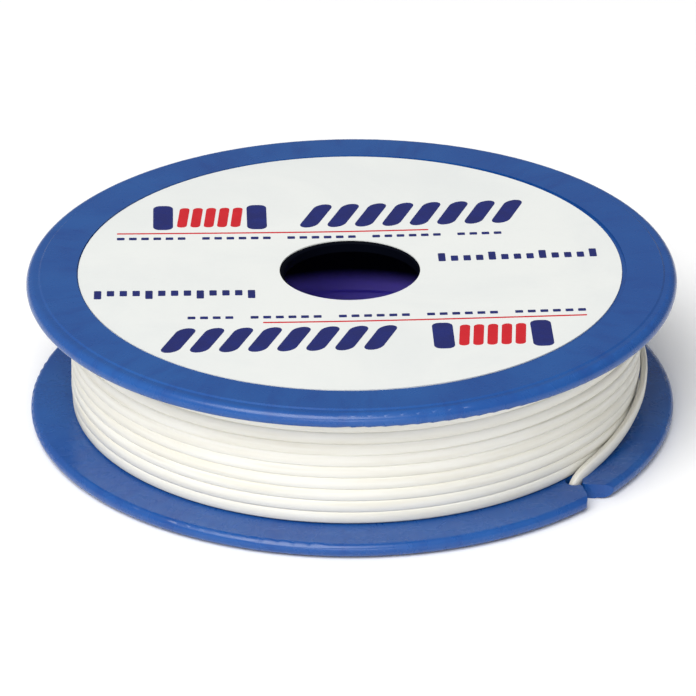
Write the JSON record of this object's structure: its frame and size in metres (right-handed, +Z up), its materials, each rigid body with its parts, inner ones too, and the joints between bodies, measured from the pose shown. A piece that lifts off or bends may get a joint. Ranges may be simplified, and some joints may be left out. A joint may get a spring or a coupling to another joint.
{
  "type": "twine reel",
  "caption": "Flat two-flange plastic reel of wound waxed twine, with a through bore for a spindle, paper labels on both faces and a rim slit that holds the loose end.",
  "frame": {"origin": "on the reel's axis, in the plane of the lower flange's outer face that it rests on", "axes": "+Z up along the reel's axis; the rim notch is 42 degrees from +X towards -Y"},
  "size_m": [0.08, 0.08, 0.0191],
  "materials": {
    "blue_plastic_lower": "satin moulded, royal blue",
    "blue_plastic_upper": "satin moulded, royal blue",
    "paper": "printed matt paper",
    "twine": "waxed, twisted, cream white"
  },
  "bodies": {
    "reel": {"lower_reel_half": "blue_plastic_lower", "upper_reel_half": "blue_plastic_upper", "lower_label": "paper", "upper_label": "paper", "twine_winding": "twine", "twine_tail": "twine"}
  },
  "joints": []
}
